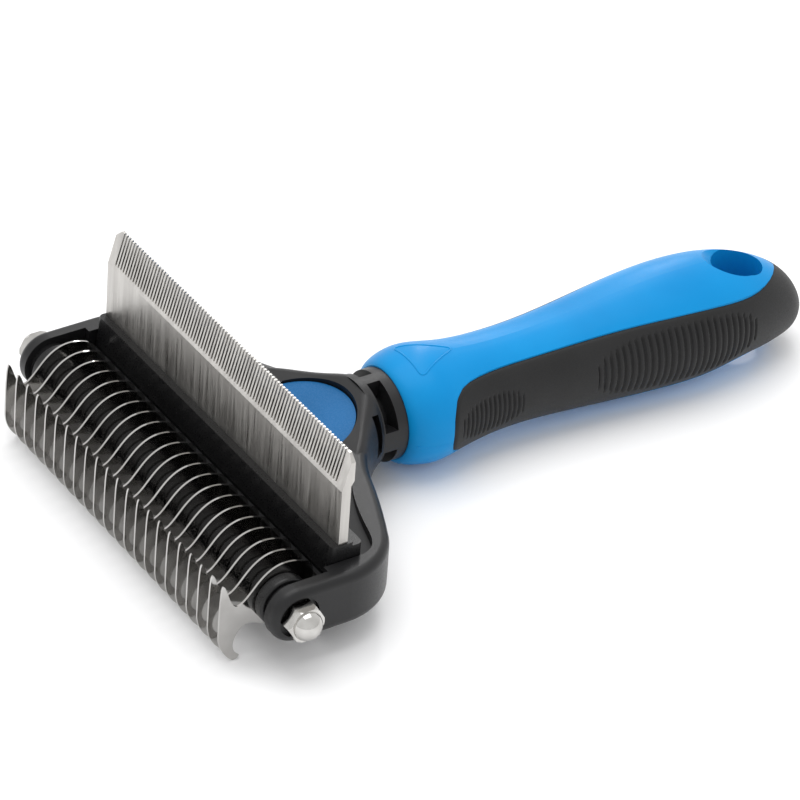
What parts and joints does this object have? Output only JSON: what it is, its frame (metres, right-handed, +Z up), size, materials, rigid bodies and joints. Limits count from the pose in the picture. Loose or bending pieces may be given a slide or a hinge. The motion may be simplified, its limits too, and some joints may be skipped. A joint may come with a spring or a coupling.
{
  "type": "dematting comb",
  "caption": "Double-sided pet grooming comb: a row of hooked dematting blades on a rod, a fine toothed deshedding blade, a push button and a soft-grip handle with a hang hole",
  "frame": {"origin": "Middle of the bounding box in plan, on the surface the comb rests on", "axes": "+X runs from the blades to the end of the handle, +Z points up with the fine blade's teeth, Y runs along the rake rod; the comb is symmetric about the XZ plane"},
  "size_m": [0.1874, 0.1248, 0.0474],
  "materials": {
    "frame_plastic": "satin black moulded nylon with a fine eggshell texture",
    "handle_plastic": "bright blue moulded plastic, satin gloss",
    "grip_rubber": "matte black moulded rubber with ribbed ovals",
    "rod_steel": "plain drawn steel",
    "nut_chrome": "bright chrome plate",
    "bush_plastic": "black moulded plastic, slight gloss",
    "brushed_blade": "stainless plate brushed across its width, bright ground teeth",
    "rake_steel": "polished stainless with bright ground edges",
    "spacer_plastic": "glossy black plastic",
    "button_plastic": "darker blue glossy moulded plastic"
  },
  "bodies": {
    "comb": {"head_frame": "frame_plastic", "handle_core": "handle_plastic", "soft_grip": "grip_rubber", "tang_pin": "rod_steel", "rake_rod": "rod_steel", "cap_nut_left": "nut_chrome", "cap_nut_right": "nut_chrome", "end_bush_left": "bush_plastic", "end_bush_right": "bush_plastic", "button_spring": "rod_steel", "rake_blade_01": "rake_steel", "rake_blade_02": "rake_steel", "rake_blade_03": "rake_steel", "rake_blade_04": "rake_steel", "rake_blade_05": "rake_steel", "rake_blade_06": "rake_steel", "rake_blade_07": "rake_steel", "rake_blade_08": "rake_steel", "rake_blade_09": "rake_steel", "rake_blade_10": "rake_steel", "rake_blade_11": "rake_steel", "rake_blade_12": "rake_steel", "rake_blade_13": "rake_steel", "rake_blade_14": "rake_steel", "rake_blade_15": "rake_steel", "rake_blade_16": "rake_steel", "rake_blade_17": "rake_steel", "rake_blade_18": "rake_steel", "rake_blade_19": "rake_steel", "rake_blade_20": "rake_steel", "rake_blade_21": "rake_steel", "rake_blade_22": "rake_steel", "spacer_01": "spacer_plastic", "spacer_02": "spacer_plastic", "spacer_03": "spacer_plastic", "spacer_04": "spacer_plastic", "spacer_05": "spacer_plastic", "spacer_06": "spacer_plastic", "spacer_07": "spacer_plastic", "spacer_08": "spacer_plastic", "spacer_09": "spacer_plastic", "spacer_10": "spacer_plastic", "spacer_11": "spacer_plastic", "spacer_12": "spacer_plastic", "spacer_13": "spacer_plastic", "spacer_14": "spacer_plastic", "spacer_15": "spacer_plastic", "spacer_16": "spacer_plastic", "spacer_17": "spacer_plastic", "spacer_18": "spacer_plastic", "spacer_19": "spacer_plastic", "spacer_20": "spacer_plastic", "spacer_21": "spacer_plastic"},
    "button": {"release_button": "button_plastic"},
    "clamp": {"clamp_slide": "frame_plastic"},
    "cartridge": {"blade_holder": "frame_plastic", "fine_blade": "brushed_blade", "blade_screws": "rod_steel"}
  },
  "joints": [
    {"name": "button_press", "type": "slide", "parent": "comb", "child": "button", "axis": [0, 0, -1], "range_m": [0, 0.0022], "stiffness_N_per_m": 1200, "springref_m": -0.002, "deforming": ["button_spring"]},
    {"name": "clamp_draw", "type": "slide", "parent": "comb", "child": "clamp", "axis": [1, 0, 0], "range_m": [0, 0.0022]},
    {"name": "cartridge_lift", "type": "slide", "parent": "comb", "child": "cartridge", "axis": [0, 0, 1], "range_m": [0, 0.016]}
  ],
  "couplings": [
    {"joint": "clamp_draw", "follows": "button_press", "ratio": 1}
  ]
}
